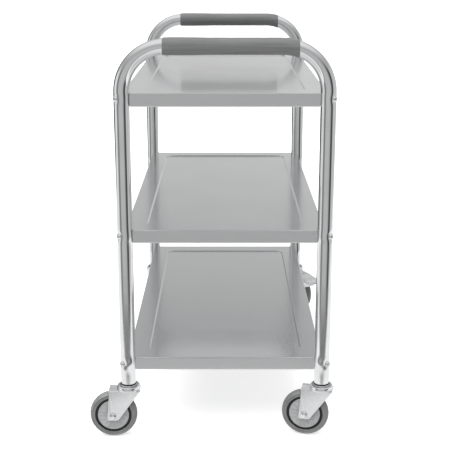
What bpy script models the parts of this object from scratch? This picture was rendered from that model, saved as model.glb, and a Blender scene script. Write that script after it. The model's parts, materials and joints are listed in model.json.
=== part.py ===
"""Food service trolley: three pressed shelves bolted between two tube hoops on four swivel casters.

Metres, +Z up, origin on the floor under the middle of the trolley. +Y runs along the trolley from the
front hoop to the rear hoop, and +X is on the right of someone who faces along +Y. Each caster has its own
frame at its swivel axis on the floor: +X along its trail, towards the wheel, and +Y along its axle.
"""

from math import asin, copysign, cos, pi, radians, sin, tan

import bmesh
import bpy
from mathutils import Matrix, Vector

COLLECTION = "food_service_trolley"
WORKSHOP = "workshop"
GAP = 0.0003  # clearance between two pieces that touch

# The hoops: one bent tube each, two legs and the handle between them.
TUBE_RADIUS = 0.016
TUBE_WALL = 0.0015
TUBE_SIDES = 16
LEG_SPACING_X = 0.413
LEG_SPACING_Y = 0.804
LEG_BOTTOM_Z = 0.1235
HANDLE_AXIS_Z = 0.838
BEND_RADIUS = 0.0906
BEND_STEPS = 5

# The grips: a sleeve over the handle that runs a little further round the right bend than the left.
GRIP_RADIUS = 0.018
GRIP_BORE = TUBE_RADIUS + 2 * GAP
GRIP_LEFT_TURN = radians(5)
GRIP_RIGHT_TURN = radians(20)

# The shelves: one pressed pan, three times over.
SHELF_TOPS = {"bottom": 0.179, "middle": 0.461, "top": 0.745}
SHELF_SHEET = 0.0012
SHELF_RIM = 0.028
SHELF_LIP = 0.009
SHELF_EDGE_RADIUS = 0.0022
SHELF_CORNER_STEPS = 4
LEG_NOTCH = TUBE_RADIUS + GAP
PANEL_INSET_X = 0.041
PANEL_INSET_Y = 0.0435
PANEL_CORNER = 0.018
PANEL_STEP_WIDTH = 0.003
PANEL_DEPTH = 0.0025

# The shelf bolts: one through each leg, square to the shelf's corner, into a nut welded behind it.
BOLT_DROP = 0.0105
BOLT_RADIUS = 0.003
BOLT_HEAD_RADIUS = 0.0058
BOLT_HEAD_HEIGHT = 0.0032
NUT_RADIUS = 0.0055
NUT_INNER = 0.0169
NUT_OUTER = 0.0222

# The foot of each leg: a plastic bush and the caster's stem.
STEM_RADIUS = 0.0055
STEM_TOP_Z = 0.156
BUSH_TOP_Z = 0.160
COLLAR_RADIUS = 0.0174
COLLAR_BOTTOM_Z = 0.1212

# The swivel bearing: an upper race on the stem, a ring of balls and a cup on the fork's crown.
UPPER_RACE_RADIUS = 0.0182
UPPER_RACE_SHEET = 0.0047
BALL_CIRCLE_RADIUS = 0.0125
BALL_SIDES = 5
KINGPIN_RADIUS = 0.006
RIVET_RADIUS = 0.009
RIVET_HEIGHT = 0.004
CUP_RADIUS = 0.025
CUP_MOUTH_RADIUS = 0.0197
CUP_TOP_Z = 0.1185
CUP_SHEET = 0.002
CUP_TOP_ROUNDING = 0.0025
CUP_FOOT_ROUNDING = 0.003

# The fork, whose side plates are outlined by (trail, height, corner radius) points.
CROWN_TOP_Z = 0.1085
CROWN_FRONT = -0.025
CROWN_REAR = 0.042
CROWN_TAPER = 0.0015
FORK_SHEET = 0.0025
FORK_HALF_WIDTH = 0.018
FORK_FOLD_RADIUS = 0.003
FORK_TOES = [(0.046, 0.0415, 0.004), (0.0225, 0.0415, 0.008)]
BRAKED_FORK_TOES = [(0.046, 0.0415, 0.004), (0.017, 0.0415, 0.008)]

# The axle and the wheel. Half profiles are (radius, distance from the wheel's middle plane) points.
WHEEL_RADIUS = 0.051
TRAIL = 0.0335
AXLE_RADIUS = 0.004
AXLE_HEAD_RADIUS = 0.0075
AXLE_HEAD_HEIGHT = 0.0042
AXLE_END = 0.0085
AXLE_NUT_RADIUS = 0.0073
AXLE_NUT_HEIGHT = 0.0065
RIM_RADIUS = 0.0392
HUB_HALF_PROFILE = [
    (AXLE_RADIUS + GAP, 0.0148),
    (0.0095, 0.0148),
    (0.0102, 0.0112),
    (0.0332, 0.0112),
    (0.0337, 0.0085),
    (RIM_RADIUS, 0.0085),
]
TYRE_HALF_PROFILE = [
    (RIM_RADIUS + GAP, 0.0105),
    (0.0408, 0.0118),
    (0.0455, 0.0118),
    (0.0480, 0.0098),
    (0.0501, 0.0058),
    (WHEEL_RADIUS, 0),
]

# The brake on each rear caster. The ear that holds it is part of the fork's side plate.
PIN_U = 0.070
PIN_Z = 0.0915
PIN_RADIUS = 0.0025
PIN_HEAD_RADIUS = 0.0042
PIN_HEAD_HEIGHT = 0.0015
EAR_SHOULDER = (0.044, 0.1025, 0)
EAR_ROOT = (0.0435, 0.079, 0)
EAR_REACH = 0.007
EAR_RISE = 0.008
EAR_FALL = 0.007
EAR_ROUNDING = 0.006
PEDAL_SHEET = 0.0018
PEDAL_NECK_START = 0.045
PEDAL_NECK_END = 0.090
PEDAL_FLARE = 0.012
PEDAL_TIP = 0.126
PEDAL_HALF_WIDTH = 0.028
PEDAL_NECK_HALF_WIDTH = FORK_HALF_WIDTH + 2 * GAP + PEDAL_SHEET
PEDAL_TIP_CHAMFER = 0.006
PEDAL_TOP_Z = 0.108
PEDAL_SLOPE = radians(2)
PEDAL_SKIRT = 0.005
PEDAL_EYE = [(0.020, 0, 0), (0.009, -0.0075, 0.006), (-0.009, -0.0075, 0.006), (-0.012, 0.004, 0)]
SHOE_SHEET = 0.003
SHOE_TOP_U = 0.014
SHOE_FOOT = (0.0098, 0, -0.0125)

# How finely the round pieces are divided.
HOLE_SIDES = 10
PIN_STEPS = 10
BOLT_STEPS = 12
BUSH_STEPS = 16
CUP_STEPS = 20
HUB_STEPS = 22
TYRE_STEPS = 28

# Corner name: leg side in X, leg side in Y, direction of the trail at rest, braked or not.
CASTERS = {
    "front_left": (-1, -1, radians(180), False),
    "front_right": (1, -1, radians(167), False),
    "rear_left": (-1, 1, radians(-65), True),
    "rear_right": (1, 1, radians(-65), True),
}


def clear_scene():
    for obj in list(bpy.data.objects):
        bpy.data.objects.remove(obj)


def make_collection(name):
    collection = bpy.data.collections.new(name)
    bpy.context.scene.collection.children.link(collection)
    return collection


def make_material(name, colour, metallic, roughness):
    material = bpy.data.materials.new(name)
    material.use_nodes = True
    shader = material.node_tree.nodes["Principled BSDF"]
    shader.inputs["Base Color"].default_value = (*colour, 1)
    shader.inputs["Metallic"].default_value = metallic
    shader.inputs["Roughness"].default_value = roughness
    return material


def workshop_object(data):
    obj = bpy.data.objects.new("blank", data)
    bpy.data.collections[WORKSHOP].objects.link(obj)
    obj.hide_render = True
    return obj


def baked(obj):
    """The object's shape with its modifiers applied. The object itself is used up."""
    graph = bpy.context.evaluated_depsgraph_get()
    graph.update()
    mesh = bpy.data.meshes.new_from_object(obj.evaluated_get(graph), depsgraph=graph)
    bpy.data.objects.remove(obj)
    return mesh


def mesh_of(bm):
    mesh = bpy.data.meshes.new("shape")
    bm.to_mesh(mesh)
    bm.free()
    return mesh


def combined(mesh, tools, operation):
    """The mesh after a Boolean with each tool mesh in turn."""
    body = workshop_object(mesh)
    cutters = [workshop_object(tool) for tool in tools]
    for cutter in cutters:
        cutter.display_type = "WIRE"
        boolean = body.modifiers.new("combine", "BOOLEAN")
        boolean.operation = operation
        boolean.solver = "EXACT"
        boolean.object = cutter
    result = baked(body)
    for cutter in cutters:
        bpy.data.objects.remove(cutter)
    return result


def rod(radius, start, end, sides):
    """A closed cylinder or prism between two points."""
    bm = bmesh.new()
    start, end = Vector(start), Vector(end)
    run = end - start
    turn = run.to_track_quat("Z", "Y").to_matrix().to_4x4()
    bmesh.ops.create_cone(
        bm,
        cap_ends=True,
        segments=sides,
        radius1=radius,
        radius2=radius,
        depth=run.length,
        matrix=Matrix.Translation((start + end) / 2) @ turn,
    )
    return mesh_of(bm)


def turned(profile, steps, closed=False):
    """A turned shape about local Z. The profile is (radius, height) points, down the outer side."""
    bm = bmesh.new()
    points = [bm.verts.new((radius, 0, height)) for radius, height in profile]
    for first, second in zip(points, points[1:]):
        bm.edges.new((first, second))
    if closed:
        bm.edges.new((points[-1], points[0]))
    blank = workshop_object(mesh_of(bm))
    screw = blank.modifiers.new("turn", "SCREW")
    screw.steps = steps
    screw.render_steps = steps
    screw.use_merge_vertices = True
    screw.merge_threshold = 0.00001
    return baked(blank)


def tube(path, radius, wall, sides):
    """A hollow tube along a path of points, open at both ends."""
    curve = bpy.data.curves.new("tube", "CURVE")
    curve.dimensions = "3D"
    curve.bevel_depth = radius
    curve.bevel_resolution = (sides - 4) // 2
    spline = curve.splines.new("POLY")
    spline.points.add(len(path) - 1)
    for point, place in zip(spline.points, path):
        point.co = (*place, 1)
    shell = workshop_object(baked(workshop_object(curve)))
    solidify = shell.modifiers.new("wall", "SOLIDIFY")
    solidify.thickness = wall
    solidify.offset = -1
    return baked(shell)


def rounded(corners, steps=4):
    """The outline through (x, y, radius) corners, each corner rounded to its radius by an arc."""
    outline = []
    for index, (x, y, radius) in enumerate(corners):
        corner = Vector((x, y))
        before = (Vector(corners[index - 1][:2]) - corner).normalized()
        after = (Vector(corners[(index + 1) % len(corners)][:2]) - corner).normalized()
        if radius == 0:
            outline.append(corner)
            continue
        half = before.angle(after) / 2
        centre = corner + (before + after).normalized() * (radius / sin(half))
        start = corner + before * (radius / tan(half)) - centre
        sweep = start.angle_signed(corner + after * (radius / tan(half)) - centre)
        for step in range(steps + 1):
            outline.append(centre + Matrix.Rotation(-sweep * step / steps, 2) @ start)
    return outline


def outward_face(bm, verts, outward):
    face = bm.faces.new(verts)
    face.normal_update()
    if face.normal.dot(Vector(outward)) < 0:
        face.normal_flip()
    return face


def folded_sheet(bm, sheet, fold_radius):
    """Half of a folded sheet, mirrored across its own XZ plane, with rounded folds and a thickness."""
    blank = workshop_object(mesh_of(bm))
    mirror = blank.modifiers.new("other half", "MIRROR")
    mirror.use_axis = (False, True, False)
    mirror.merge_threshold = 0.00001
    bevel = blank.modifiers.new("folds", "BEVEL")
    bevel.width = fold_radius
    bevel.segments = 2
    bevel.limit_method = "ANGLE"
    bevel.angle_limit = radians(60)
    solidify = blank.modifiers.new("sheet", "SOLIDIFY")
    solidify.thickness = sheet
    solidify.offset = -1
    solidify.use_even_offset = True
    return baked(blank)


def handle_end(side, turn):
    """The point on a hoop's centre line where its bend has turned by this angle from the handle."""
    straight = LEG_SPACING_X / 2 - BEND_RADIUS
    x = side * (straight + BEND_RADIUS * sin(turn))
    return (x, 0, HANDLE_AXIS_Z - BEND_RADIUS * (1 - cos(turn)))


def bend_turns():
    """The angles at which a bend has a point: both grips' ends, then even steps down to the leg."""
    step = (pi / 2 - GRIP_RIGHT_TURN) / BEND_STEPS
    return [0, GRIP_LEFT_TURN] + [GRIP_RIGHT_TURN + step * count for count in range(BEND_STEPS + 1)]


def bolt_directions():
    """For each end of the front hoop, the way its bolts point: out of the trolley at 45 degrees."""
    return [(side, Vector((side, -1, 0)).normalized()) for side in (-1, 1)]


def hoop_mesh():
    left = [handle_end(-1, turn) for turn in reversed(bend_turns())]
    right = [handle_end(1, turn) for turn in bend_turns()]
    foot = LEG_SPACING_X / 2
    path = [(-foot, 0, LEG_BOTTOM_Z)] + left + right + [(foot, 0, LEG_BOTTOM_Z)]
    bores = []
    for side, outward in bolt_directions():
        for top in SHELF_TOPS.values():
            centre = Vector((side * foot, 0, top - BOLT_DROP))
            reach = outward * (TUBE_RADIUS + BOLT_RADIUS)
            bores.append(rod(BOLT_RADIUS + GAP, centre - reach, centre + reach, HOLE_SIDES))
    return combined(tube(path, TUBE_RADIUS, TUBE_WALL, TUBE_SIDES), bores, "DIFFERENCE")


def grip_mesh():
    left = [handle_end(-1, turn) for turn in reversed(bend_turns()) if turn <= GRIP_LEFT_TURN]
    right = [handle_end(1, turn) for turn in bend_turns() if turn <= GRIP_RIGHT_TURN]
    return tube(left + right, GRIP_RADIUS, GRIP_RADIUS - GRIP_BORE, TUBE_SIDES)


def shelf_corners():
    """The shelf's four corners, anticlockwise from the front left, with the angle each has turned."""
    signs = ((-1, -1), (1, -1), (1, 1), (-1, 1))
    for index, (side_x, side_y) in enumerate(signs):
        yield Vector((side_x * LEG_SPACING_X / 2, side_y * LEG_SPACING_Y / 2)), index * pi / 2


def notched_outline(inset):
    """The shelf's plan, moved in from its edge by the inset, hollowed round a leg at each corner."""
    radius = LEG_NOTCH + inset
    trim = asin(inset / radius)
    outline = []
    for corner, turn in shelf_corners():
        for step in range(SHELF_CORNER_STEPS + 1):
            angle = turn + pi / 2 - trim - (pi / 2 - 2 * trim) * step / SHELF_CORNER_STEPS
            outline.append(corner + radius * Vector((cos(angle), sin(angle))))
    return outline


def panel_outline(inset):
    """The plan of the sunken panel, moved in by the inset: a rectangle with rounded corners."""
    outline = []
    panel_x = LEG_SPACING_X / 2 - PANEL_INSET_X - PANEL_CORNER
    panel_y = LEG_SPACING_Y / 2 - PANEL_INSET_Y - PANEL_CORNER
    for corner, turn in shelf_corners():
        centre = Vector((copysign(panel_x, corner.x), copysign(panel_y, corner.y)))
        for step in range(SHELF_CORNER_STEPS + 1):
            angle = turn + pi + pi / 2 * step / SHELF_CORNER_STEPS
            outline.append(centre + (PANEL_CORNER - inset) * Vector((cos(angle), sin(angle))))
    return outline


def shelf_sheet():
    """The pan's upper surface, from the lip under the rim, over the rim's edge and down into the panel."""
    bend = SHELF_EDGE_RADIUS * (1 - cos(pi / 4))
    sections = [
        (notched_outline(SHELF_LIP), -SHELF_RIM),
        (notched_outline(0), -SHELF_RIM),
        (notched_outline(0), -SHELF_EDGE_RADIUS),
        (notched_outline(bend), -bend),
        (notched_outline(SHELF_EDGE_RADIUS), 0),
        (panel_outline(0), 0),
        (panel_outline(PANEL_STEP_WIDTH), -PANEL_DEPTH),
    ]
    bm = bmesh.new()
    rings = [[bm.verts.new((*point, height)) for point in outline] for outline, height in sections]
    for lower, upper in zip(rings, rings[1:]):
        for index in range(len(lower)):
            before = index - 1
            bm.faces.new((lower[before], lower[index], upper[index], upper[before]))
    bm.faces.new(rings[-1])
    shell = workshop_object(mesh_of(bm))
    solidify = shell.modifiers.new("sheet", "SOLIDIFY")
    solidify.thickness = SHELF_SHEET
    solidify.offset = -1
    solidify.use_even_offset = True
    return baked(shell)


def shelf_mesh():
    """The pan with a nut welded behind each corner, bored for its bolt. Its top face is at height 0."""
    nuts = []
    bores = []
    for corner, turn in shelf_corners():
        inward = Vector((cos(turn + pi / 4), sin(turn + pi / 4), 0))
        centre = Vector((*corner, -BOLT_DROP))
        nuts.append(rod(NUT_RADIUS, centre + inward * NUT_INNER, centre + inward * NUT_OUTER, 6))
        start = centre + inward * (LEG_NOTCH - BOLT_RADIUS)
        end = centre + inward * (NUT_OUTER + BOLT_RADIUS)
        bores.append(rod(BOLT_RADIUS + GAP, start, end, HOLE_SIDES))
    return combined(combined(shelf_sheet(), nuts, "UNION"), bores, "DIFFERENCE")


def shelf_bolt_mesh():
    """A pan-head bolt. Its head faces +Z and its origin is on the leg's axis."""
    seat = TUBE_RADIUS + GAP
    top = seat + BOLT_HEAD_HEIGHT
    profile = [
        (0, top),
        (0.55 * BOLT_HEAD_RADIUS, top - 0.1 * BOLT_HEAD_HEIGHT),
        (0.9 * BOLT_HEAD_RADIUS, top - 0.45 * BOLT_HEAD_HEIGHT),
        (BOLT_HEAD_RADIUS, seat),
        (BOLT_RADIUS, seat),
        (BOLT_RADIUS, -NUT_OUTER),
        (0, -NUT_OUTER),
    ]
    return turned(profile, BOLT_STEPS)


def bush_mesh():
    """The plastic bush in the end of a leg, with the collar that the leg stands on."""
    bore = STEM_RADIUS + GAP
    plug = TUBE_RADIUS - TUBE_WALL - GAP
    collar_top = LEG_BOTTOM_Z - GAP
    profile = [
        (plug, BUSH_TOP_Z),
        (plug, collar_top),
        (COLLAR_RADIUS, collar_top),
        (COLLAR_RADIUS, COLLAR_BOTTOM_Z),
        (bore, COLLAR_BOTTOM_Z),
        (bore, BUSH_TOP_Z),
    ]
    return turned(profile, BUSH_STEPS, closed=True)


def stem_mesh():
    """The caster's stem, with its upper race below the bush and the riveted kingpin under the crown."""
    race_top = COLLAR_BOTTOM_Z - GAP
    race_bottom = race_top - UPPER_RACE_SHEET
    rivet_top = CROWN_TOP_Z - FORK_SHEET - GAP
    rivet_bottom = rivet_top - RIVET_HEIGHT
    profile = [
        (0, STEM_TOP_Z),
        (STEM_RADIUS, STEM_TOP_Z),
        (STEM_RADIUS, race_top),
        (UPPER_RACE_RADIUS, race_top),
        (UPPER_RACE_RADIUS, race_bottom),
        (KINGPIN_RADIUS, race_bottom),
        (KINGPIN_RADIUS, rivet_top),
        (RIVET_RADIUS, rivet_top),
        (RIVET_RADIUS, rivet_bottom),
        (0, rivet_bottom),
    ]
    return turned(profile, BOLT_STEPS)


def cup_mesh():
    """The lower race: a rounded cup pressed onto the fork's crown, open at the top round the stem."""
    floor_bottom = CROWN_TOP_Z + GAP
    floor_top = floor_bottom + CUP_SHEET
    profile = [
        (CUP_MOUTH_RADIUS, CUP_TOP_Z),
        (CUP_RADIUS - CUP_TOP_ROUNDING, CUP_TOP_Z),
        (CUP_RADIUS, CUP_TOP_Z - CUP_TOP_ROUNDING),
        (CUP_RADIUS, floor_bottom + CUP_FOOT_ROUNDING),
        (CUP_RADIUS - CUP_FOOT_ROUNDING, floor_bottom),
        (KINGPIN_RADIUS + GAP, floor_bottom),
        (KINGPIN_RADIUS + GAP, floor_top),
        (CUP_MOUTH_RADIUS, floor_top),
    ]
    return turned(profile, CUP_STEPS, closed=True)


def ball_race_mesh():
    """The ring of caged balls between the two races."""
    lowest = CROWN_TOP_Z + CUP_SHEET + 2 * GAP
    highest = COLLAR_BOTTOM_Z - UPPER_RACE_SHEET - 2 * GAP
    ball = (highest - lowest) / 2
    profile = []
    for side in range(BALL_SIDES):
        angle = pi / 2 - 2 * pi * side / BALL_SIDES
        profile.append((BALL_CIRCLE_RADIUS + ball * cos(angle), lowest + ball + ball * sin(angle)))
    return turned(profile, BOLT_STEPS, closed=True)


def fork_outline(braked):
    """A side plate of the fork as (trail, height, corner radius) points, from its top front corner."""
    outline = [(CROWN_FRONT, CROWN_TOP_Z, 0), (CROWN_REAR - CROWN_TAPER, CROWN_TOP_Z, 0)]
    if braked:
        ear_u = PIN_U + EAR_REACH
        ear_top = (ear_u, PIN_Z + EAR_RISE, EAR_ROUNDING)
        ear_bottom = (ear_u, PIN_Z - EAR_FALL, EAR_ROUNDING)
        return outline + [EAR_SHOULDER, ear_top, ear_bottom, EAR_ROOT] + BRAKED_FORK_TOES
    return outline + FORK_TOES


def fork_mesh(braked):
    """The pressed fork: a flat crown under the race, folded down into a plate on each side."""
    bm = bmesh.new()
    edge = FORK_HALF_WIDTH
    plate = [bm.verts.new((u, edge, z)) for u, z in rounded(fork_outline(braked))]
    outward_face(bm, plate, (0, 1, 0))
    front, rear = plate[:2]
    crown = [(CROWN_REAR, edge - CROWN_TAPER), (CROWN_REAR, 0), (CROWN_FRONT, 0)]
    crown_verts = [bm.verts.new((*place, CROWN_TOP_Z)) for place in crown]
    outward_face(bm, [front, rear] + crown_verts, (0, 0, 1))
    sheet = folded_sheet(bm, FORK_SHEET, FORK_FOLD_RADIUS)
    wide = FORK_HALF_WIDTH + FORK_SHEET
    above = (0, 0, CROWN_TOP_Z + FORK_SHEET)
    below = (0, 0, CROWN_TOP_Z - 3 * FORK_SHEET)
    holes = [
        rod(KINGPIN_RADIUS + GAP, above, below, BUSH_STEPS),
        rod(AXLE_RADIUS + GAP, (TRAIL, -wide, WHEEL_RADIUS), (TRAIL, wide, WHEEL_RADIUS), BOLT_STEPS),
    ]
    if braked:
        holes.append(rod(PIN_RADIUS + GAP, (PIN_U, -wide, PIN_Z), (PIN_U, wide, PIN_Z), HOLE_SIDES))
    return combined(sheet, holes, "DIFFERENCE")


def axle_bolt_mesh():
    """The axle bolt, along local Z, with a domed head at +Z."""
    seat = FORK_HALF_WIDTH + GAP
    end = -seat - AXLE_END
    profile = [
        (0, seat + AXLE_HEAD_HEIGHT),
        (0.5 * AXLE_HEAD_RADIUS, seat + 0.9 * AXLE_HEAD_HEIGHT),
        (0.87 * AXLE_HEAD_RADIUS, seat + 0.55 * AXLE_HEAD_HEIGHT),
        (AXLE_HEAD_RADIUS, seat),
        (AXLE_RADIUS, seat),
        (AXLE_RADIUS, end),
        (0, end),
    ]
    return turned(profile, BOLT_STEPS)


def axle_nut_mesh():
    """The hexagonal nut on the axle bolt's far end."""
    seat = FORK_HALF_WIDTH + GAP
    nut = rod(AXLE_NUT_RADIUS, (0, 0, -seat - AXLE_NUT_HEIGHT), (0, 0, -seat), 6)
    bore = rod(AXLE_RADIUS + GAP, (0, 0, -seat - 2 * AXLE_NUT_HEIGHT), (0, 0, 0), BOLT_STEPS)
    return combined(nut, [bore], "DIFFERENCE")


def both_sides(half):
    """A turned ring's profile from the outer half that runs from its +Z edge in to its middle plane."""
    return half + [(radius, -height) for radius, height in reversed(half) if height > 0]


def hub_mesh():
    """The wheel's centre: a barrel on the axle, flat faces and a rim that the tyre sits on."""
    return turned(both_sides(HUB_HALF_PROFILE), HUB_STEPS, closed=True)


def tyre_mesh():
    """The tyre: flat side walls and a crowned tread."""
    return turned(both_sides(TYRE_HALF_PROFILE), TYRE_STEPS, closed=True)


def plate_between(top, foot, thickness, width):
    """A flat plate that hangs from one point of the XZ plane to another, its width along Y."""
    top, foot = Vector(top), Vector(foot)
    run = top - foot
    bm = bmesh.new()
    bmesh.ops.create_cube(bm, size=1)
    lean = Matrix.Rotation(asin(run.x / run.length), 4, "Y")
    scale = Matrix.Diagonal((thickness, width, run.length, 1))
    bm.transform(Matrix.Translation((top + foot) / 2) @ lean @ scale)
    return mesh_of(bm)


def pedal_point(u, w, drop=0.0):
    """A point of the pedal's sloping top, or below it by the drop, measured from the pedal's pin."""
    height = PEDAL_TOP_Z - (u - CROWN_REAR) * tan(PEDAL_SLOPE)
    return (u - PIN_U, w, height - drop - PIN_Z)


def pedal_plate():
    """The pedal's folded sheet: a foot plate with a hem, and a cheek down each side of the fork."""
    edge_plan = [
        (PEDAL_NECK_START, PEDAL_NECK_HALF_WIDTH),
        (PEDAL_NECK_END, PEDAL_NECK_HALF_WIDTH),
        (PEDAL_NECK_END + PEDAL_FLARE, PEDAL_HALF_WIDTH),
        (PEDAL_TIP - PEDAL_TIP_CHAMFER, PEDAL_HALF_WIDTH),
        (PEDAL_TIP, PEDAL_HALF_WIDTH - PEDAL_TIP_CHAMFER),
    ]
    bm = bmesh.new()
    spine = [bm.verts.new(pedal_point(u, 0)) for u in (PEDAL_TIP, PEDAL_NECK_START)]
    edge = [bm.verts.new(pedal_point(u, w)) for u, w in edge_plan]
    outward_face(bm, spine + edge, (0, 0, 1))
    hem = [bm.verts.new(pedal_point(u, w, PEDAL_SKIRT)) for u, w in edge_plan[1:]]
    for index in range(len(hem) - 1):
        outward_face(bm, [edge[index + 1], edge[index + 2], hem[index + 1], hem[index]], (0.3, 1, 0))
    hem_middle = bm.verts.new(pedal_point(PEDAL_TIP, 0, PEDAL_SKIRT))
    outward_face(bm, [edge[-1], spine[0], hem_middle, hem[-1]], (1, 0, 0))
    eye = [bm.verts.new((u, PEDAL_NECK_HALF_WIDTH, z)) for u, z in rounded(PEDAL_EYE)[1:]]
    outward_face(bm, [edge[0], edge[1], hem[0]] + eye, (0, 1, 0))
    return folded_sheet(bm, PEDAL_SHEET, PEDAL_SHEET)


def pedal_mesh():
    """The brake pedal with its shoe over the tyre. Its origin is on its pin, and the brake is off."""
    shoe_top = Vector(pedal_point(PIN_U + SHOE_TOP_U, 0, PEDAL_SHEET / 2))
    shoe_width = 2 * PEDAL_NECK_HALF_WIDTH - PEDAL_SHEET
    shoe = plate_between(shoe_top, SHOE_FOOT, SHOE_SHEET, shoe_width)
    reach = 2 * PEDAL_NECK_HALF_WIDTH
    pin_hole = rod(PIN_RADIUS + GAP, (0, -reach, 0), (0, reach, 0), HOLE_SIDES)
    return combined(combined(pedal_plate(), [shoe], "UNION"), [pin_hole], "DIFFERENCE")


def brake_pin_mesh():
    """The pin of the brake pedal, along local Z, with a head at each end."""
    seat = PEDAL_NECK_HALF_WIDTH + GAP
    top = seat + PIN_HEAD_HEIGHT
    half = [(0, top), (PIN_HEAD_RADIUS, top), (PIN_HEAD_RADIUS, seat), (PIN_RADIUS, seat)]
    return turned(both_sides(half), PIN_STEPS)


def place(name, mesh, material, location, parent=None, rotation=None):
    """A finished piece: an object of its own that may share its mesh with its twins."""
    obj = bpy.data.objects.new(name, mesh)
    bpy.data.collections[COLLECTION].objects.link(obj)
    if not mesh.materials:
        mesh.materials.append(material)
        mesh.shade_smooth()
        mesh.set_sharp_from_angle(angle=radians(35))
    obj.parent = parent
    obj.location = location
    if rotation is not None:
        obj.rotation_mode = "QUATERNION"
        obj.rotation_quaternion = rotation
    return obj


def make_empty(name, location, turn, parent=None):
    empty = bpy.data.objects.new(name, None)
    bpy.data.collections[COLLECTION].objects.link(empty)
    empty.parent = parent
    empty.location = location
    empty.rotation_euler = (0, 0, turn)
    return empty


def build_frame(steel, satin, foam, zinc):
    """The two hoops with their grips, the three shelves and the twelve bolts that hold them together."""
    hoop = hoop_mesh()
    grip = grip_mesh()
    shelf = shelf_mesh()
    bolt = shelf_bolt_mesh()
    for name, side in (("front", -1), ("rear", 1)):
        middle = (0, side * LEG_SPACING_Y / 2, 0)
        half_turn = Matrix.Rotation(pi * (side > 0), 3, "Z").to_quaternion()
        place(f"{name}_hoop", hoop, steel, middle, rotation=half_turn)
        place(f"{name}_grip", grip, foam, middle)
    for level, top in SHELF_TOPS.items():
        place(f"{level}_shelf", shelf, satin, (0, 0, top))
        for corner, (side_x, side_y, _, _) in CASTERS.items():
            axis = (side_x * LEG_SPACING_X / 2, side_y * LEG_SPACING_Y / 2, top - BOLT_DROP)
            outward = Vector((side_x, side_y, 0)).to_track_quat("Z", "Y")
            place(f"{level}_shelf_bolt_{corner}", bolt, zinc, axis, rotation=outward)


def caster_meshes():
    return {
        "leg_bush": bush_mesh(),
        "swivel_stem": stem_mesh(),
        "race_cup": cup_mesh(),
        "ball_race": ball_race_mesh(),
        "plain_fork": fork_mesh(braked=False),
        "braked_fork": fork_mesh(braked=True),
        "axle_bolt": axle_bolt_mesh(),
        "axle_nut": axle_nut_mesh(),
        "hub": hub_mesh(),
        "tyre": tyre_mesh(),
        "brake_pedal": pedal_mesh(),
        "brake_pin": brake_pin_mesh(),
    }


def build_caster(corner, meshes, materials):
    """One caster: the bush and stem stay with the leg, the rest turns with the fork."""
    side_x, side_y, trail, braked = CASTERS[corner]
    foot = (side_x * LEG_SPACING_X / 2, side_y * LEG_SPACING_Y / 2, 0)
    swivel = make_empty(f"{corner}_swivel", foot, trail)
    for piece in ("leg_bush", "swivel_stem", "race_cup", "ball_race"):
        place(f"{corner}_{piece}", meshes[piece], materials[piece], (0, 0, 0), swivel)
    fork = meshes["braked_fork" if braked else "plain_fork"]
    place(f"{corner}_fork", fork, materials["fork"], (0, 0, 0), swivel)
    axle = (TRAIL, 0, WHEEL_RADIUS)
    along_axle = Vector((0, 1, 0)).to_track_quat("Z", "Y")
    for piece in ("axle_bolt", "axle_nut", "hub", "tyre"):
        place(f"{corner}_{piece}", meshes[piece], materials[piece], axle, swivel, along_axle)
    if braked:
        pivot = (PIN_U, 0, PIN_Z)
        pedal, pin = "brake_pedal", "brake_pin"
        place(f"{corner}_{pedal}", meshes[pedal], materials[pedal], pivot, swivel)
        place(f"{corner}_{pin}", meshes[pin], materials[pin], pivot, swivel, along_axle)


def main():
    clear_scene()
    make_collection(COLLECTION)
    make_collection(WORKSHOP).hide_render = True
    polished = make_material("polished_steel", (0.66, 0.67, 0.68), 1.0, 0.16)
    satin = make_material("satin_steel", (0.56, 0.57, 0.58), 1.0, 0.36)
    zinc = make_material("zinc_plate", (0.72, 0.73, 0.74), 1.0, 0.30)
    foam = make_material("grey_foam", (0.19, 0.19, 0.20), 0.0, 0.85)
    black = make_material("black_plastic", (0.02, 0.02, 0.02), 0.0, 0.5)
    grey = make_material("grey_plastic", (0.36, 0.36, 0.37), 0.0, 0.55)
    rubber = make_material("grey_rubber", (0.15, 0.15, 0.155), 0.0, 0.7)
    build_frame(polished, satin, foam, zinc)
    materials = {
        "leg_bush": black,
        "swivel_stem": zinc,
        "race_cup": zinc,
        "ball_race": zinc,
        "fork": zinc,
        "axle_bolt": zinc,
        "axle_nut": zinc,
        "hub": grey,
        "tyre": rubber,
        "brake_pedal": zinc,
        "brake_pin": black,
    }
    meshes = caster_meshes()
    for corner in CASTERS:
        build_caster(corner, meshes, materials)


main()
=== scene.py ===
"""Looks of the food service trolley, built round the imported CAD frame.

Metres, +Z up, in the record's frame: +Y runs from the front hoop to the rear hoop. Each caster is modelled
in a frame of its own, at its swivel axis on the floor: +X along its trail, +Y along its axle.
"""

import json
from math import asin, atan2, ceil, copysign, cos, exp, pi, radians, sin, tan

import bmesh
import bpy
from mathutils import Matrix, Vector


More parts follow.
